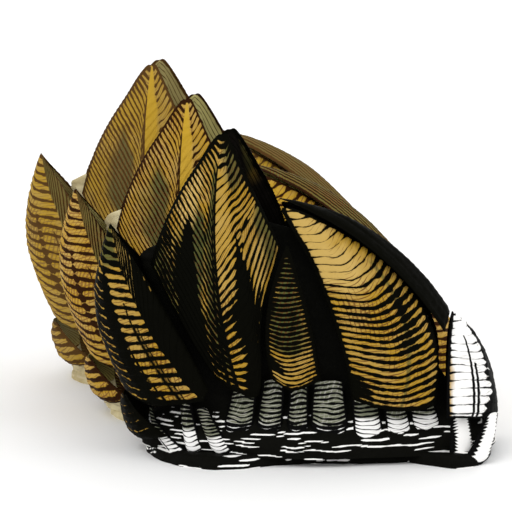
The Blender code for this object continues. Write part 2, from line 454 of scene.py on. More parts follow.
ROSTRUM = Plate(
    apex=(-25.2, 0.0, 29.2),
    margin=both_sides(
        Stop((-23.2, 0.0, 7.7), (-2.8, 0.0, 0.0), pace=1.12),
        Stop((-20.2, -5.6, 6.9), (-2.9, -1.4, 0.0), pace=1.04),
        Stop((-13.6, -9.4, 8.4), (-1.9, -2.2, 0.0), pace=0.98, corner=True),
        Stop((-12.9, -9.0, 9.8), (0.6, -1.4, 0.2), pace=2.2),
    ),
    shell=Shell(rings=21, size=(88, 188)),
    crowd=((0.10, 1.0), (0.38, 2.0), (0.62, 4.0), (0.90, 5.0)),
)
SCUTUM = Plate(
    apex=(-11.2, -1.4, 41.0),
    margin=(
        Stop((-20.2, -1.7, 24.2), (-1.3, 0.0, 0.3)),
        Stop((-15.6, -5.6, 16.0), (-0.8, -1.0, 0.0)),
        Stop((-11.8, -7.7, 10.6), (-1.4, -1.5, 0.0)),
        Stop((-8.8, -9.4, 9.4), (-1.9, -1.8, 0.0), pace=0.82, corner=True),
        Stop((-6.4, -9.0, 9.6), (-0.2, -1.9, 0.0), pace=1.12),
        Stop((-6.3, -8.0, 18.6), (0.4, -1.5, 0.0), pace=0.88),
        Stop((-3.9, -5.6, 27.4), (0.2, -1.0, 0.3), pace=0.62),
    ),
    shell=Shell(rings=30, size=(72, 256)),
    tip=0.004,
    crowd=((0.28, 2.4), (0.72, 4.3)),
    settled=0.4,
    blunt=0.5,
)
RIGHT_SCUTUM = SCUTUM._replace(
    apex=(-10.2, -1.4, 41.0),
    margin=(*SCUTUM.margin[:-1], Stop((-2.8, -4.8, 27.0), (0.8, -0.9, 0.3), pace=0.62)),
)
UPPER_LATUS = Plate(
    apex=(-3.1, -7.2, 28.2),
    margin=(
        Stop((-5.2, -9.0, 11.2), (-1.5, -0.7, 0.0), pace=0.94),
        Stop((-2.4, -9.3, 9.7), (-0.5, -0.9, 0.0)),
        Stop((1.2, -9.0, 11.0), (0.5, -0.5, 0.0), pace=0.94),
    ),
    shell=Shell(rings=31, size=(28, 188)),
)
TERGUM = Plate(
    apex=(-3.4, -1.6, 31.6),
    margin=(
        Stop((5.0, -9.2, 8.6), (1.2, -1.7, 0.0), pace=0.94),
        Stop((8.2, -9.6, 7.6), (2.9, -2.0, -0.3)),
        Stop((11.2, -9.5, 7.2), (4.4, -1.6, -0.3)),
        Stop((13.8, -8.9, 7.2), (5.6, 0.2, 0.8)),
        Stop((15.6, -7.7, 7.6), (6.4, 2.3, 1.9)),
    ),
    shell=Shell(rings=29, size=(64, 208)),
    tip=0.004,
    blunt=0.7,
)
# At the other end of the crown, margins run the other way round to face outwards.
CARINA = Plate(
    apex=(-4.4, 0.0, 32.4),
    margin=both_sides(
        Stop((17.4, 0.0, 17.9), (1.1, 0.0, 2.9)),
        Stop((16.7, -4.0, 16.2), (1.1, -1.2, 2.5)),
    )[::-1],
    shell=Shell(rings=30, size=(32, 148), thickness=0.6, relief=0.06, lumps=0.08),
)
SUB_CARINA = Plate(
    apex=(17.5, 0.0, 17.9),
    margin=both_sides(
        Stop((23.3, 0.0, 4.4), (1.5, 0.0, 0.6)),
        Stop((21.4, -5.6, 5.4), (1.6, -1.4, 0.6)),
        Stop((17.0, -8.8, 6.2), (-0.2, -1.8, 0.8)),
    )[::-1],
    shell=Shell(rings=14, size=(64, 116)),
)
SUB_ROSTRUM = Plate(
    apex=(-23.5, 0.0, 7.9),
    margin=both_sides(
        Stop((-22.6, 0.0, 2.2), (-0.9, 0.0, 0.3)),
        Stop((-20.9, -4.8, 2.4), (-1.0, -1.0, 0.3)),
        Stop((-18.2, -7.4, 3.4), (-1.0, -1.4, 0.4)),
    ),
    shell=Shell(rings=6, size=(48, 48), thickness=0.8),
    tip=0.12,
)

# The plates of a crown: name, side if one of a pair, and shape, as if on the left.
PLATES = (
    ("rostrum", "", ROSTRUM),
    ("carina", "", CARINA),
    ("sub_rostrum", "", SUB_ROSTRUM),
    ("sub_carina", "", SUB_CARINA),
    ("scutum", "left_", SCUTUM),
    ("scutum", "right_", RIGHT_SCUTUM),
    ("tergum", "left_", TERGUM),
    ("tergum", "right_", TERGUM),
    ("upper_latus", "left_", UPPER_LATUS),
    ("upper_latus", "right_", UPPER_LATUS),
)


def both_ways(last, *marks):
    """The same streaks on both halves of a plate whose margin runs from place 0 to the last."""
    other = [mark._replace(places=last - np.array(mark.places)) for mark in marks]
    return (*marks, *other)


# Streaks on each plate, first on every barnacle and then on the front one only.
MARKS = {
    "rostrum": both_ways(
        6,
        Mark("olive", (0.0, 1.1), (5.6, 5.5), (0.6, 0.5), 0.9, 0.1),
        Mark("ink_and_shade", (0.36, 1.1), (4.17, 4.2), 0.05, 0.6),
        Mark("seam", (0.42, 1.1), 4.53, 0.022),
        Mark("ink_and_shade", (0.05, 1.1), 4.5, 0.5, -0.08, 0.2),
    ),
    "scutum": (
        # Along the right of the ridge: a pale strip with fewer growth lines, a painted highlight.
        Mark("pale", (0.03, 0.6), (3.45, 3.35), (0.45, 0.32), 0.8),
        Mark("ink_and_shade", (0.03, 0.66), (3.45, 3.35), (0.5, 0.36), -0.9),
        Mark("seam", (0.12, 1.1), (2.8, 2.84), (0.26, 0.16)),
        Mark("seam", (0.22, 1.1), (2.4, 2.44), (0.09, 0.08)),
        Mark("ink_and_shade", (0.03, 1.1), 5.3, 1.1, -0.22),
        Mark("olive", (0.4, 0.78), (0.9, 1.1), (0.5, 0.6)),
        Mark("coarse", (0.43, 1.2), 5.5, 1.3, 1.0, 0.12),
    ),
    "upper_latus": (Mark("olive", (0.05, 0.74), 1.0, (0.8, 0.6), 0.95),),
    "tergum": (
        Mark("pale", (-0.1, 0.4), (1.2, 1.0), (2.6, 1.5), 0.7),
        Mark("ink_and_shade", (-0.1, 0.45), (1.6, 1.2), (3.4, 1.9), -0.22),
        Mark("olive", (0.3, 0.52), (3.3, 2.9), 0.12, 0.7),
        Mark("olive", (0.5, 1.0), (2.9, 1.9), (0.12, 0.08), 0.7),
    ),
    "carina": (
        Mark("stripe", (-0.5, 1.5), 1.0, 9.0),
        Mark("olive", (-0.5, 1.5), 1.0, 9.0, 0.9),
    ),
}
FRONT_MARKS = {
    "rostrum": both_ways(
        6,
        Mark("ink_and_shade", (0.1, 1.1), (4.62, 4.66), 0.46, 0.03, 0.3),
        Mark("ink_and_shade", (0.3, 1.1), (4.1, 4.18), (0.12, 0.1), 0.9, 0.6),
        Mark("seam", (0.55, 1.1), 4.61, 0.022),
        Mark("seam", (0.45, 1.1), (4.24, 4.37), 0.022),
        Mark("ink_and_shade", (0.3, 1.1), 3.75, 0.4, 0.36),
        Mark("ink_and_shade", (0.1, 1.1), 3.3, 0.3, 0.3),
        Mark("ink_and_shade", (0.02, 0.24), (4.0, 4.3), (0.9, 0.7), 0.15),
        Mark("olive", (0.02, 0.22), (4.0, 4.3), (0.9, 0.7), 0.9),
        # The side facet past the corner, towards the scutum: near-solid black, painted shadow.
        Mark("ink_and_shade", (0.48, 1.2), (5.45, 5.5), (0.5, 0.55), 1.2, 0.1),
        Mark("ink_and_shade", (0.02, 0.52), 5.45, 0.55, 0.4, 0.1),
        Mark("olive", (0.0, 1.1), (5.6, 5.5), (0.6, 0.5), -0.5, 0.1),
        Mark("pale", (0.0, 0.55), (5.6, 5.5), (0.6, 0.5), 0.4, 0.1),
    ),
    "scutum": (
        # Lower left facet, up to the ridge: near-solid black and heavier lines, painted shadow.
        Mark("ink_and_shade", (0.5, 0.8), (0.6, 1.05), (0.06, 0.46), 1.2, 0.4),
        Mark("ink_and_shade", (0.76, 1.2), (1.05, 1.35), (0.46, 0.55), 1.2, 0.4),
        Mark("ink_and_shade", (0.66, 1.2), (0.2, 0.4), (0.45, 0.6), 0.42, 0.5),
        Mark("ink_and_shade", (0.3, 0.85), (1.75, 2.2), (0.45, 0.5), 0.22, 0.6),
        Mark("ink_and_shade", (0.8, 1.2), (2.05, 2.3), (0.3, 0.4), 0.45, 0.5),
        Mark("ink_and_shade", (0.3, 1.1), (2.7, 2.76), (0.2, 0.26), 0.35, 0.6),
        # Below the right shoulder, down to the ridge's foot: near-solid black, painted shadow.
        Mark("ink_and_shade", (0.45, 0.71), (4.02, 4.2), (0.06, 0.5), 1.2, 0.8),
        Mark("ink_and_shade", (0.67, 1.1), (4.2, 3.95), (0.5, 0.42), 1.2, 0.6),
        Mark("ink_and_shade", (0.81, 1.1), (4.75, 4.6), (0.3, 0.5), 0.9, 0.5),
        # On the front barnacle the painted ridge highlight gets some of its lines back.
        Mark("ink_and_shade", (0.03, 0.66), (3.45, 3.35), (0.5, 0.36), 0.52),
        Mark("ink_and_shade", (0.44, 0.7), (3.42, 3.35), (0.45, 0.36), 0.34, 0.6),
        Mark("ink_and_shade", (-0.1, 0.15), (4.4, 4.8), (2.1, 1.4), 0.4),
        Mark("olive", (0.02, 0.26), (4.8, 5.2), (1.3, 0.9), 0.9),
        # Here the painted shade on the front's inner face is left out.
        Mark("lining", (0.08, 0.3), (5.8, 5.76), (0.12, 0.08), -1.0, 0.8),
        Mark("ink_and_shade", (0.03, 1.1), 5.3, 1.1, 0.08),
        Mark("ink_and_shade", (0.2, 0.55), (0.5, 0.8), (0.8, 0.9), -0.06),
        Mark("olive", (0.45, 0.9), (5.9, 5.8), (0.3, 0.35), 0.9),
        Mark("olive", (0.12, 0.9), (2.1, 2.4), (0.6, 0.45), 0.9),
        Mark("olive", (0.8, 1.1), (0.3, 0.5), (0.5, 0.6), 0.9),
        # Less pale in the painted ridge highlight on the front barnacle.
        Mark("pale", (0.03, 0.6), (3.45, 3.35), (0.45, 0.32), -0.6),
        Mark("pale", (0.26, 0.56), (0.35, 0.4), (0.35, 0.3), 0.9),
        Mark("pale", (0.6, 0.9), 5.3, (0.35, 0.25), 0.5),
    ),
    "upper_latus": (
        Mark("ink_and_shade", (-0.1, 0.74), 1.0, 3.0, 0.2),
        Mark("ink_and_shade", (0.8, 0.9), (0.2, 0.3), (0.35, 0.5), 0.8, 0.7),
        Mark("ink_and_shade", (0.78, 0.97), 1.2, 0.9, -0.08),
        Mark("ink_and_shade", (0.96, 1.1), 1.0, 3.0, 0.2),
    ),
    "tergum": (
        Mark("ink_and_shade", (-0.1, 0.34), (1.6, 1.2), (3.4, 1.9), -0.25),
        Mark("ink_and_shade", (0.06, 0.6), 3.3, (0.9, 1.2), 0.06),
        Mark("ink_and_shade", (0.3, 0.85), 1.6, 3.0, -0.05),
        Mark("ink_and_shade", (0.46, 0.72), (3.1, 2.6), (0.35, 0.45), 0.4, 0.8),
        Mark("ink_and_shade", (0.84, 0.99), (0.1, 0.35), (0.45, 0.4), 0.7, 0.6),
        Mark("ink_and_shade", (0.6, 1.1), (4.0, 3.9), 0.25, 0.7, 0.6),
    ),
    "carina": (Mark("ink_and_shade", (-0.5, 1.5), 1.0, 9.0, 1.5),),
    "sub_rostrum": (Mark("ink_and_shade", (-0.5, 1.5), 3.0, 9.0, 0.45),),
    "sub_carina": (
        Mark("ink_and_shade", (0.2, 1.1), 2.0, (0.45, 1.05), 1.4, 0.2),
        Mark("ink_and_shade", (-0.1, 0.3), 2.0, 3.0, -0.2),
        Mark("ink_and_shade", (0.25, 1.1), 2.0, 3.0, -0.08),
        *both_ways(
            4,
            Mark("ink_and_shade", (0.1, 1.2), 0.45, 0.6, -0.14),
            Mark("seam", (0.25, 1.2), (0.62, 0.64), 0.035),
            Mark("seam", (0.5, 1.2), 0.76, 0.035),
            Mark("pale", (0.45, 1.2), 0.0, (0.1, 0.12), 0.9),
        ),
    ),
}

# ---- neck plates

# The middle on X of the ovals that the neck's plates lie on, and the height, half width and half
# depth of the ovals at the shares 0 and 1 of the neck.
NECK_CENTRE = 0.7
NECK_LOW = (3.0, 21.4, 8.8)
NECK_HIGH = (9.6, 19.2, 7.1)
# A neck plate's bulge in mm. At its top, its sides end below its middle by the crest, and at its
# foot they end above it by the rest of the sag.
NECK_DOME = 0.35
NECK_SAG = 1.0
NECK_CREST = 0.3
# The width of a neck plate's top as a share of its foot's, and the growth that its top starts at.
NECK_TOP_SHARE = 0.9
NECK_FIRST_GROWTH = 0.2
# The neck plates' tops are olive with heavier lines: painted shade under the rims of the big plates.
NECK_MARKS = (
    Mark("olive", (-0.2, 0.7), 1.0, 3.0),
    Mark("ink_and_shade", (-0.2, 0.7), 1.0, 3.0, 0.2),
    Mark("ink_and_shade", (0.72, 1.3), 1.0, 3.0, -0.16),
)
DULL_NECK_MARKS = (
    Mark("olive", (-0.2, 0.78), 1.0, 3.0),
    Mark("ink_and_shade", (-0.2, 0.78), 1.0, 3.0, 0.12),
    Mark("ink_and_shade", (0.78, 1.3), 1.0, 3.0, 0.6),
)
# The fingers' sides are dark: painted shadow in the gaps between neck plates.
FINGER_MARKS = (
    Mark("ink_and_shade", (-0.5, 1.5), 1.0, 0.7, -0.5),
    Mark("ink_and_shade", (-0.5, 1.5), 0.0, 0.35, 0.9, 0.6),
    Mark("ink_and_shade", (-0.5, 1.5), 2.0, 0.35, 0.9, 0.6),
)
NECK_SHELL = Shell(rings=17, size=(16, 48), thickness=0.8, relief=0.07, lumps=0.06, waver=0.4)


class Slip(NamedTuple):
    """A plate of the neck: its angle and width in degrees, the heights of its foot and top as
    shares of the neck, how far it stands out in mm, and how far its foot leans round in degrees."""

    angle: float
    width: float
    heights: tuple = (0.0, 1.15)
    out: float = 0.0
    lean: float = 0.0
    marks: tuple = NECK_MARKS


NECK_PLATES = (
    Slip(-147.0, 8.0, (-0.28, 0.95), 0.7, 14.0),
    Slip(-118.5, 11.5, marks=DULL_NECK_MARKS),
    Slip(-86.0, 13.0, marks=DULL_NECK_MARKS),
    Slip(-49.0, 13.0),
)
SLIPS = (
    Slip(-168.0, 9.0, (-0.3, 0.45), 1.0, 28.0),
    Slip(-134.0, 8.0, (-0.24, 0.6), 0.8, 12.0),
    Slip(-107.0, 9.6, marks=DULL_NECK_MARKS),
    Slip(-97.0, 7.8, marks=DULL_NECK_MARKS),
    Slip(-72.4, 10.6),
    Slip(-61.0, 9.8),
    Slip(-37.0, 11.5, (-0.42, 0.42), 2.0, -4.5, FINGER_MARKS),
    Slip(-23.5, 11.0, (-0.42, 0.44), 3.5, -16.0, FINGER_MARKS),
)


def neck_plate(name, slip, origin, look, seed, mirrored):
    """A small domed plate on the neck, a little narrower at its top, with a rounded foot."""
    columns, rows = NECK_SHELL.size
    across = np.linspace(-1, 1, columns + 1)[None, :]
    down = np.linspace(0, 1, rows + 1)[:, None]
    share = slip.heights[1] + (slip.heights[0] - slip.heights[1]) * down
    low, high = (np.array(level) for level in (NECK_LOW, NECK_HIGH))
    level = low + (high - low) * share[..., None]
    taper = 1 + (NECK_TOP_SHARE - 1) * (1 - down) ** 2
    dome = slip.out + NECK_DOME * (1 - across**2) * (1 - (1 - down) ** 2)
    turn = np.radians(slip.angle + slip.lean * down + across * slip.width / 2 * taper)
    grid = points_at(
        NECK_CENTRE + (level[..., 1] + dome) * np.cos(turn),
        (level[..., 2] + dome) * np.sin(turn),
        level[..., 0] + across**2 * (NECK_SAG * down - NECK_CREST),
    )
    places = np.linspace(0, 2, columns + 1)
    growths = NECK_FIRST_GROWTH + (1 - NECK_FIRST_GROWTH) * down[:, 0]
    return shell_piece(
        name, grid, places, growths, NECK_SHELL, origin, look, slip.marks, seed, mirrored
    )


# ---- stalk and foot

# Height, left end, right end and half depth of the skin, from the foot to the top of the mantle.
SKIN_LEVELS = (
    (1.1, -21.4, 23.2, 9.75),
    (2.4, -21.5, 23.1, 9.85),
    (3.6, -20.9, 22.8, 9.5),
    (4.8, -19.9, 22.0, 8.4),
    (6.5, -18.9, 20.9, 7.0),
    (9.0, -17.4, 17.2, 5.8),
    (11.5, -17.4, 15.4, 5.4),
    (16.0, -19.0, 13.0, 5.1),
    (21.5, -20.4, 9.2, 3.5),
    (24.2, -21.3, 6.2, 2.0),
    (25.8, -20.8, 4.0, 1.2),
    (28.0, -15.2, -1.0, 0.6),
    (30.0, -13.6, -8.0, 0.3),
)
SKIN_SIZE = (192, 90)
# Above 1, the mesh's rows lie closer together near the foot than near the top.
ROW_CROWDING = 1.7
# The length once round the skin for its scales, in mm.
SKIN_AROUND = 100.0
# Heights over which the scaly skin of the neck gives way to the smoother mantle.
SCALY_HEIGHTS = (4.6, 7.5)
# How much the corners at the skin's right end stand out under the fingers, over which cosines of
# the angle that starts, and over which heights it fades.
SHOULDER = 0.34
SHOULDER_COSINES = (0.70, 0.86)
SHOULDER_HEIGHTS = (5.0, 8.0)
# Amounts and scales of the noise that lumps the skin and bends its rows of scales.
SKIN_LOBES = ((0.5, 0.12), (0.35, 0.3))
SKIN_WAVES = ((0.9, 0.14), (0.3, 0.4))
# How far in mm lobes, scales and folds stand out, and how far in the skin between them lies.
LOBE_SWELL = 0.55
SCALE_SWELL = 0.16
SKIN_SINK = 0.1
FOLD_SWELL = 0.10
FOLDS_PER_MM = 0.8
# Heights over which all of these grow to their full size, from the top down.
FOLD_HEIGHTS = (32.0, 24.0)
# Where the tan skin between rostrum and scuta starts, leftwards and upwards.
NOTCH_LEFT = (16.0, 18.0)
NOTCH_HEIGHTS = (18.0, 21.0)

# The height of a row of scales and the shortest length of a scale in mm (the longest is twice
# that), how many lengths a row may slide, and the share of scales that is left out.
SCALE_ROW = 0.56
SCALE_LENGTH = 1.5
SCALE_SLIDE = 17.0
SCALES_LEFT_OUT = 0.57
# Half the thickness of the thinnest scale, what the thickest has more, and how softly a scale's
# edge fades, as shares of a row.
SCALE_THINNEST = 0.03
SCALE_THICKER = 0.11
SCALE_SOFTNESS = 0.07

FOOT_SIZE = (288, 20)
FOOT_HEIGHT = 1.6
FOOT_CENTRE = 0.8
FOOT_HALF_WIDTH = 22.2
FOOT_HALF_DEPTH = 10.7
FOOT_SEED = 900
FOOT_LOBES = ((0.6, 0.16), (0.3, 0.45))
# How far in a pad's upper edge lies, and how much further in its top ends, as shares of the pad.
FOOT_LIP = 0.06
FOOT_TOP = 0.30
# How far in mm a pad's edge draws in: as a rule, less for each unit of its lobes, less where a
# scale stands, and more in the middle of its front.
FOOT_DRAW = 0.35
FOOT_DRAW_LOBES = 0.7
FOOT_DRAW_SCALE = 0.10
FOOT_DRAW_MIDDLE = 0.7
# The length of one radian round a pad for its scales, in mm.
FOOT_AROUND = 16.0
# How far behind the front crown's middle the front's black skin gives way to tan.
BLACK_SKIN_ENDS = (7.0, 11.0)
# Angles in degrees along the front edge of the front pad, from its right end to its left, and how
# far the edge stands out there against a plain oval.
LOBE_ANGLES = (0, 20, 35, 45, 58, 95, 105, 115, 128, 145, 160, 180)
LOBE_SHARES = (1.6, 2.2, 1.75, 1.3, 0.85, 0.8, 0.92, 1.18, 1.38, 1.55, 1.3, 1.0)


def scale_rows(around, height, seed):
    """Rows of low lengthwise scales on wrinkled skin: how high each point stands on one, 0..1."""
    row = height / SCALE_ROW
    number = np.floor(row)
    part = row - number
    # Rows differ in length of scale and in start, so that scales don't line up.
    slide = lattice(points_at(number, number * 0.37), seed)
    along = around / (SCALE_LENGTH + SCALE_LENGTH * slide) + slide * SCALE_SLIDE
    cell = np.floor(along)
    place = along - cell
    kept = lattice(points_at(cell, number), seed + 1)
    rounded = np.clip(4 * place * (1 - place), 0, 1) ** 0.4
    thick = (SCALE_THINNEST + SCALE_THICKER * kept) * rounded
    on_scale = 1 - soft_step(np.abs(part - 0.5), thick * 0.6, thick + SCALE_SOFTNESS)
    return on_scale * (kept > SCALES_LEFT_OUT)


def closed_pile(grid):
    """Faces round a pile of rings of points, and the caps of its first and its last ring."""
    index = numbered(grid)
    wrapped = np.concatenate([index, index[:, :1]], axis=1)
    return grid_faces(wrapped, True), [index[0][::-1].tolist(), index[-1].tolist()]


def skin_piece(name, crown, origin, seed):
    """Stalk and mantle: wrinkled, scaly skin below, smoother folds between the shell plates."""
    columns, rows = SKIN_SIZE
    up = np.linspace(0, 1, rows + 1)
    levels = curve_through(SKIN_LEVELS, up**ROW_CROWDING * (len(SKIN_LEVELS) - 1))
    turn = np.linspace(0, 2 * np.pi, columns + 1)[None, :-1]
    height, left, right, depth = (levels[:, i][:, None] for i in range(4))
    shoulder = soft_step(np.cos(turn), *SHOULDER_COSINES)
    shoulder = shoulder * (1 - soft_step(height, *SHOULDER_HEIGHTS))
    grid = points_at(
        (left + right) / 2 + (right - left) / 2 * np.cos(turn),
        depth * np.sin(turn) * (1 + SHOULDER * shoulder),
        height,
    )
    outward = points_at(np.cos(turn) * depth, np.sin(turn) * (right - left) / 2, 0.0)
    outward /= np.linalg.norm(outward, axis=-1, keepdims=True)
    low = 1 - soft_step(height, *SCALY_HEIGHTS)
    lobes = layered_noise(grid, SKIN_LOBES, seed)
    around = (turn / (2 * np.pi)) * SKIN_AROUND
    waves = layered_noise(grid, SKIN_WAVES, seed + 2)
    scales = scale_rows(around, height + waves, seed) * low
    swell = low * (LOBE_SWELL * lobes + SCALE_SWELL * scales - SKIN_SINK)
    folds = np.cos(2 * np.pi * (height * FOLDS_PER_MM + 1.5 * noise(grid, 0.1, seed + 4)))
    swell += (1 - low) * (FOLD_SWELL * folds + 0.12 * noise(grid, 0.5, seed + 5))
    swell *= soft_step(height, *FOLD_HEIGHTS)
    grid = grid + outward * swell[..., None]
    notch = soft_step(-grid[..., 0], *NOTCH_LEFT) * soft_step(grid[..., 2], *NOTCH_HEIGHTS)
    channels = {
        "scales": scales,
        "low": np.broadcast_to(low, scales.shape),
        "notch": notch,
        "far": np.full(scales.shape, 0.0 if crown == "front" else 1.0),
    }
    faces, caps = closed_pile(grid)
    return new_piece(name, grid.reshape(-1, 3) + origin, faces, caps, channels, materials["skin"])


def foot_pad(crown):
    """One barnacle's share of the foot: a low lobed pad with a flat underside."""
    origin = crown_origin(crown)
    seed = FOOT_SEED
    columns, rows = FOOT_SIZE
    turn = np.linspace(0, 2 * np.pi, columns + 1)[None, :-1]
    path = np.linspace(0, 1, rows + 1)[:, None]
    rise = soft_step(path, 0.0, 0.55)
    inset = FOOT_LIP * soft_step(path, 0.2, 0.6) + FOOT_TOP * np.clip((path - 0.5) / 0.5, 0, 1)
    out = np.interp(360 - np.degrees(turn), LOBE_ANGLES, LOBE_SHARES)
    out = np.where((turn > np.pi) & (crown == "front"), out, 1.0)
    grid = points_at(
        FOOT_CENTRE + FOOT_HALF_WIDTH * (1 - inset) * np.cos(turn),
        FOOT_HALF_DEPTH * (1 - inset) * np.sin(turn) * out,
        FOOT_HEIGHT * rise,
    )
    world = grid + origin
    lobes = layered_noise(world, FOOT_LOBES, seed)
    scales = scale_rows(turn * FOOT_AROUND, world[..., 2] + 3.0 * inset, seed)
    inward = -points_at(np.cos(turn), np.sin(turn), 0.0)
    keep = (1 - soft_step(path, 0.75, 1.0))[..., None]
    middle = soft_step(-np.sin(turn), 0.3, 0.9)
    draw = np.clip(FOOT_DRAW - FOOT_DRAW_LOBES * lobes, 0, 1)
    pull = draw[..., None] - FOOT_DRAW_SCALE * scales[..., None]
    pull = pull + FOOT_DRAW_MIDDLE * middle[..., None]
    world = world + inward * np.maximum(pull, 0.0) * keep
    faces, caps = closed_pile(world)
    points = world.reshape(-1, 3)
    return new_piece("foot_" + crown, points, faces, caps, {}, materials["skin"])


def make_foot():
    """The three pads joined into one foot, coloured by how near each point is to the front."""
    foot, *others = (foot_pad(crown) for crown in CROWNS)
    for other in others:
        union = foot.modifiers.new("join", "BOOLEAN")
        union.operation = "UNION"
        union.object = other
    bpy.context.view_layer.update()
    ready = foot.evaluated_get(bpy.context.evaluated_depsgraph_get())
    mesh = bpy.data.meshes.new_from_object(ready)
    for pad in (foot, *others):
        bpy.data.objects.remove(pad)
    points = np.empty(len(mesh.vertices) * 3, np.float32)
    mesh.vertices.foreach_get("co", points)
    points = points.reshape(-1, 3) / MM
    front = crown_origin("front")
    turn = np.arctan2(points[:, 1] - front[1], points[:, 0] - front[0])
    waved = points[:, 2] + 0.6 * noise(points, 0.2, 5)
    channels = {
        "scales": scale_rows(turn * FOOT_AROUND, waved, FOOT_SEED),
        "low": np.ones(len(points)),
        "notch": np.zeros(len(points)),
        "far": soft_step(points[:, 1], *(front[1] + end for end in BLACK_SKIN_ENDS)),
    }
    set_channels(mesh, channels)
    dress(add_object("foot_skin", mesh), "foot")


# ---- materials


class Look(NamedTuple):
    """Colours of a set of plates, in linear light: their lines and painted shadow, the shell and its
    second tone, the olive and the pale areas, the fine hatching and the inner face (near black at
    the front, as painted shade). Then how wide the dark outline is in mm, and the dark share of
    each growth ring."""

    ink_and_shade: tuple
    gold: tuple
    tan: tuple
    olive: tuple
    hatch: tuple
    pale: tuple
    lining: tuple
    outline: float
    line_share: float


LOOKS = {
    # The front barnacle's inner faces are near black: painted shade. The others show their pale
    # lining.
    "front_shell": Look(
        ink_and_shade=(0.002, 0.002, 0.001), gold=(0.38, 0.215, 0.014), tan=(0.42, 0.265, 0.06),
        olive=(0.072, 0.084, 0.024), hatch=(0.09, 0.025, 0.008), pale=(0.56, 0.385, 0.12),
        lining=(0.006, 0.005, 0.004), outline=0.52, line_share=0.55,
    ),
    "middle_shell": Look(
        ink_and_shade=(0.028, 0.01, 0.003), gold=(0.45, 0.26, 0.022), tan=(0.48, 0.31, 0.08),
        olive=(0.115, 0.112, 0.034), hatch=(0.18, 0.07, 0.02), pale=(0.55, 0.34, 0.03),
        lining=(0.48, 0.43, 0.17), outline=0.28, line_share=0.45,
    ),
    "rear_shell": Look(
        ink_and_shade=(0.085, 0.042, 0.012), gold=(0.39, 0.235, 0.022), tan=(0.4, 0.26, 0.06),
        olive=(0.12, 0.105, 0.036), hatch=(0.18, 0.1, 0.03), pale=(0.5, 0.31, 0.03),
        lining=(0.4, 0.34, 0.14), outline=0.36, line_share=0.44,
    ),
    "white_shell": Look(
        ink_and_shade=(0.003, 0.003, 0.003), gold=(0.9, 0.89, 0.87), tan=(0.93, 0.92, 0.9),
        olive=(0.17, 0.18, 0.12), hatch=(0.5, 0.48, 0.44), pale=(0.42, 0.25, 0.04),
        lining=(0.1, 0.09, 0.08), outline=0.26, line_share=0.3,
    ),
}


class Nodes:
    """Short ways to add shader nodes to a material."""

    def __init__(self, name):
        self.material = bpy.data.materials.new(name)
        self.material.use_nodes = True
        self.tree = self.material.node_tree
        self.shader = self.tree.nodes["Principled BSDF"]

    def link(self, value, socket):
        """Sets a socket to a number or a colour, or links another node to it."""
        if isinstance(value, bpy.types.NodeSocket):
            self.tree.links.new(value, socket)
        elif isinstance(value, tuple):
            socket.default_value = (*value, 1.0)
        else:
            socket.default_value = value

    def attribute(self, name):
        node = self.tree.nodes.new("ShaderNodeAttribute")
        node.attribute_name = name
        return node.outputs["Fac"]

    def position(self):
        return self.tree.nodes.new("ShaderNodeTexCoord").outputs["Object"]

    def math(self, operation, *values):
        node = self.tree.nodes.new("ShaderNodeMath")
        node.operation = operation
        for value, socket in zip(values, node.inputs):
            self.link(value, socket)
        return node.outputs[0]

    def add(self, *values):
        total = values[0]
        for value in values[1:]:
            total = self.math("ADD", total, value)
        return total

    def times(self, first, second):
        return self.math("MULTIPLY", first, second)

    def centred(self, value, amount, middle=0.5):
        """A noise as a swing of this amount, zero where the noise is at its middle."""
        return self.times(self.math("SUBTRACT", value, middle), amount)

    def vector(self, *values):
        node = self.tree.nodes.new("ShaderNodeCombineXYZ")
        for value, socket in zip(values, node.inputs):
            self.link(value, socket)
        return node.outputs[0]

    def noise(self, vector, scale, detail=2.0):
        node = self.tree.nodes.new("ShaderNodeTexNoise")
        self.link(vector, node.inputs["Vector"])
        node.inputs["Scale"].default_value = scale
        node.inputs["Detail"].default_value = detail
        return node.outputs["Fac"]

    def spread(self, value, low, high, to_low=0.0, to_high=1.0):
        """A soft step of the value, from to_low at low to to_high at high."""
        node = self.tree.nodes.new("ShaderNodeMapRange")
        node.interpolation_type = "SMOOTHSTEP"
        for given, socket in zip((value, low, high, to_low, to_high), node.inputs):
            self.link(given, socket)
        return node.outputs[0]

    def mix(self, share, first, second):
        node = self.tree.nodes.new("ShaderNodeMix")
        node.data_type = "RGBA"
        sockets = [s for s in node.inputs if s.type == "RGBA"]
        self.link(share, node.inputs[0])
        self.link(first, sockets[0])
        self.link(second, sockets[1])
        return next(s for s in node.outputs if s.type == "RGBA")

    def mix_values(self, share, first, second):
        return self.add(
            self.times(first, self.math("SUBTRACT", 1.0, share)), self.times(second, share)
        )

    def off_line(self, phase):
        """0 in the middle of each line of a set, 1 halfway to the next."""
        from_half = self.math("SUBTRACT", self.math("FRACT", phase), 0.5)
        return self.times(self.math("ABSOLUTE", from_half), 2.0)

    def line(self, away, width, soft, strength=1.0):
        """The strength inside a line of this half width, and 0 outside it."""
        return self.spread(
            away, self.math("SUBTRACT", width, soft), self.math("ADD", width, soft), strength, 0.0
        )

    def finish(self, colour, roughness, height, strength, distance, specular):
        """Links the shader, with a bump of this height, and gives the material."""
        self.link(colour, self.shader.inputs["Base Color"])
        self.link(roughness, self.shader.inputs["Roughness"])
        self.shader.inputs["Specular IOR Level"].default_value = specular
        bump = self.tree.nodes.new("ShaderNodeBump")
        bump.inputs["Strength"].default_value = strength
        bump.inputs["Distance"].default_value = distance
        self.link(height, bump.inputs["Height"])
        self.link(bump.outputs["Normal"], self.shader.inputs["Normal"])
        return self.material


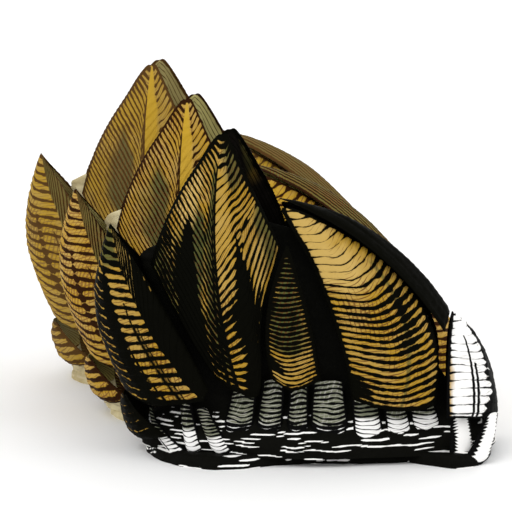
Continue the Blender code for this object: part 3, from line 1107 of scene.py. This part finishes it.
def shell_material(name, look):
    """Growth lines in dark pigment over ochre, olive and pale shell, with a dark outline. The same
    dark fills painted shadow where marks ask for it, lines thicken into painted shade at the plate's
    sides, and ring tops are lighter as a painted highlight.
    """
    n = Nodes(name)
    position = n.position()
    rings, across, side = map(n.attribute, ("rings", "across", "side"))
    ink_and_shade, edge, lining = map(n.attribute, ("ink_and_shade", "edge", "lining"))
    slow, quick = n.noise(position, 350.0, 1.0), n.noise(position, 1500.0, 3.0)

    # Growth lines break up along their length, and broaden towards the plate's sides, which is
    # painted shade. Where they are coarse, every second line is left out.
    phase = n.add(rings, n.centred(n.noise(position, 800.0), 0.22))
    coarse = n.attribute("coarse")
    away = n.mix_values(coarse, n.off_line(phase), n.off_line(n.times(phase, 0.5)))
    along = n.vector(n.times(across, 0.9), n.math("FLOOR", phase), 0.0)
    broken = n.noise(along, 1.0, 3.0)
    width = n.times(ink_and_shade, n.add(0.05, n.times(broken, 1.9)))
    width = n.add(width, n.centred(quick, 0.25), n.centred(slow, 0.5))
    # Wider lines near the plate's sides: painted shade.
    width = n.add(width, n.spread(side, 0.1, 1.3, 0.28, 0.0))
    lines = n.line(away, width, 0.10)

    # Lengthwise lines, parallel to the plate's side, where there is a stripe instead.
    stripe_phase = n.add(n.times(side, 2.0), n.centred(slow, 0.5))
    stripe_width = n.add(n.times(ink_and_shade, 1.1), n.centred(quick, 0.3))
    stripes = n.line(n.off_line(stripe_phase), stripe_width, 0.12)
    lines = n.mix_values(n.attribute("stripe"), lines, stripes)
    border_width = n.times(n.add(0.5, quick), look.outline)
    outline = n.spread(edge, border_width, n.add(border_width, 0.12), 1.0, 0.0)
    seams = n.spread(n.add(n.attribute("seam"), n.centred(quick, 0.15)), 0.68, 0.80)
    dark = n.math("MAXIMUM", n.math("MAXIMUM", lines, outline), seams)

    # Finer brown lines between the growth lines, at a slant to them.
    slant = n.add(n.times(rings, 2.3), n.times(across, 0.55), n.times(slow, 1.6))
    fine_width = n.centred(n.noise(position, 500.0), 1.1, 0.34)
    fine_width = n.add(fine_width, n.spread(ink_and_shade, -0.2, 0.30, -0.6, 0.0))
    hatch = n.line(n.off_line(slant), fine_width, 0.15, 0.8)

    # Here and there, wrinkles run across the growth lines.
    wrinkle = n.add(n.times(across, 1.7), n.times(rings, 0.35), n.times(slow, 1.4))
    wrinkle_width = n.centred(n.noise(position, 180.0), 2.4, 0.46)
    wrinkle_width = n.add(wrinkle_width, n.spread(ink_and_shade, 0.05, 0.45, -0.8, 0.0))
    wrinkles = n.line(n.off_line(wrinkle), wrinkle_width, 0.15, 0.7)

    ground = n.mix(n.spread(n.noise(position, 260.0, 3.0), 0.38, 0.66), look.gold, look.tan)
    # Halfway between growth lines the ring's top turns tan: painted highlight.
    ground = n.mix(n.spread(away, 0.55, 1.0, 0.0, 0.45), ground, look.tan)
    ground = n.mix(n.attribute("olive"), ground, look.olive)
    ground = n.mix(n.attribute("pale"), ground, look.pale)
    colour = n.mix(n.math("MAXIMUM", hatch, wrinkles), ground, look.hatch)
    colour = n.mix(lining, colour, look.lining)
    colour = n.mix(dark, colour, look.ink_and_shade)
    roughness = n.spread(quick, 0.2, 0.8, 0.48, 0.70)
    grain = n.add(n.noise(position, 3000.0, 3.0), n.times(lines, -0.6))
    return n.finish(colour, roughness, grain, 0.35, 0.00008, 0.015)


def skin_material():
    """Black skin with white scales at the front; tan skin further back, whose folded mantle above the
    scaly neck is near-black brown. The mantle's black, front and back, is painted shade between
    plates.
    """
    n = Nodes("skin")
    position = n.position()
    scales, low, far, notch = map(n.attribute, ("scales", "low", "far", "notch"))
    slow, quick = n.noise(position, 420.0, 3.0), n.noise(position, 2200.0, 3.0)
    worn = n.spread(n.add(scales, n.centred(quick, 0.4)), 0.30, 0.42)
    # At the front all skin is black with white scales; on the mantle that black is painted shade.
    front = n.mix(worn, (0.003, 0.003, 0.002), (0.98, 0.97, 0.94))
    tan = n.mix(n.spread(slow, 0.30, 0.65), (0.50, 0.41, 0.22), (0.74, 0.65, 0.40))
    # Near-black brown for the mantle above the scaly neck: painted shade in the gaps between plates.
    dark = n.mix(n.spread(slow, 0.35, 0.65), (0.02, 0.015, 0.008), (0.06, 0.045, 0.02))
    bare = n.mix(n.math("MAXIMUM", notch, low), dark, tan)
    bare = n.mix(n.times(worn, 0.7), bare, (0.66, 0.56, 0.36))
    colour = n.mix(far, front, bare)
    grain = n.add(n.noise(position, 2500.0, 4.0), n.times(slow, 1.5))
    return n.finish(colour, n.spread(quick, 0.2, 0.8, 0.6, 0.85), grain, 0.4, 0.0001, 0.04)


materials = {name: shell_material(name, look) for name, look in LOOKS.items()}
materials["skin"] = skin_material()

# ---- crowns

# Steps between the seeds of crowns, of pieces, and from the last plate to the skin.
CROWN_SEEDS = 100
PIECE_SEEDS = 10
SKIN_SEEDS = 50


def make_crown(crown, number):
    """All plates of one barnacle, its neck plates on both sides, and its skin."""
    origin = crown_origin(crown)
    shell = crown + "_shell"
    stalk = "stalk_" + crown
    white_or_shell = "white_shell" if crown == "front" else shell
    seed = CROWN_SEEDS * (number + 1)
    for name, side, plate in PLATES:
        look = white_or_shell if name == "sub_carina" else shell
        marks = MARKS.get(name, ()) + (FRONT_MARKS.get(name, ()) if crown == "front" else ())
        node = f"{name}_{side}{crown}"
        seed += PIECE_SEEDS
        mirrored = side == "right_"
        piece = grow_plate(node + "_shell", plate, origin, look, marks, seed, mirrored)
        dress(piece, node)
    for side in ("left", "right"):
        mirrored = side == "right"
        for place, slip in enumerate(NECK_PLATES, start=1):
            node = f"basal_{side}_{place}_{crown}"
            seed += PIECE_SEEDS
            piece = neck_plate(node + "_shell", slip, origin, white_or_shell, seed, mirrored)
            dress(piece, node)
        for place, slip in enumerate(SLIPS, start=1):
            seed += PIECE_SEEDS
            name = f"slip_{side}_{place}_{crown}"
            piece = neck_plate(name, slip, origin, white_or_shell, seed, mirrored)
            dress(piece, stalk)
    dress(skin_piece(stalk + "_skin", crown, origin, SKIN_SEEDS + seed), stalk)


for number, crown in enumerate(CROWNS):
    make_crown(crown, number)
make_foot()

# ---- studio

# The floor's width in metres.
FLOOR_SIZE = 30.0
FLOOR_COLOUR = (0.97, 0.97, 0.965)
# Name, place and width in metres, and power in watts.
LIGHTS = (
    ("key", (-0.35, -0.55, 0.75), 0.5, 1.7),
    ("fill", (0.6, -0.5, 0.45), 0.6, 0.6),
    ("back", (0.1, 0.7, 0.6), 0.6, 0.9),
)


def studio():
    """A pale floor that runs to the horizon under a white sky, and three soft lights."""
    n = Nodes("floor")
    n.link(FLOOR_COLOUR, n.shader.inputs["Base Color"])
    n.link(0.9, n.shader.inputs["Roughness"])
    bpy.ops.mesh.primitive_plane_add(size=FLOOR_SIZE, location=(0.0, 0.0, 0.0))
    floor = bpy.context.active_object
    floor.name = "floor"
    floor.data.materials.append(n.material)

    world = bpy.data.worlds.new("studio")
    world.use_nodes = True
    background = world.node_tree.nodes["Background"]
    background.inputs["Color"].default_value = (1.0, 1.0, 1.0, 1.0)
    background.inputs["Strength"].default_value = 1.0
    bpy.context.scene.world = world
    for name, place, size, power in LIGHTS:
        light = bpy.data.lights.new(name, "AREA")
        light.energy = power
        light.size = size
        lamp = add_object(name, light)
        lamp.location = place
        lamp.rotation_euler = (-Vector(place)).to_track_quat("-Z", "Y").to_euler()


# The camera looks at its target from this angle above the ground in degrees and from this
# distance, and sees this width there, both in metres.
CAMERA_TARGET = Vector((-2.5, -19.5, 24.92)) * MM
CAMERA_ELEVATION = 13.3
CAMERA_DISTANCE = 3.0
VIEW_WIDTH = 0.064


def make_camera():
    """A long lens in front of the cluster and a little above it."""
    data = bpy.data.cameras.new("camera")
    data.lens = data.sensor_width * CAMERA_DISTANCE / VIEW_WIDTH
    data.clip_start = 0.05
    data.clip_end = 50.0
    camera = add_object("camera", data)
    elevation = math.radians(CAMERA_ELEVATION)
    back = Vector((0.0, -math.cos(elevation), math.sin(elevation)))
    camera.location = CAMERA_TARGET + back * CAMERA_DISTANCE
    camera.rotation_euler = (-back).to_track_quat("-Z", "Y").to_euler()
    bpy.context.scene.camera = camera


studio()
make_camera()
bpy.context.scene.view_settings.view_transform = "Standard"
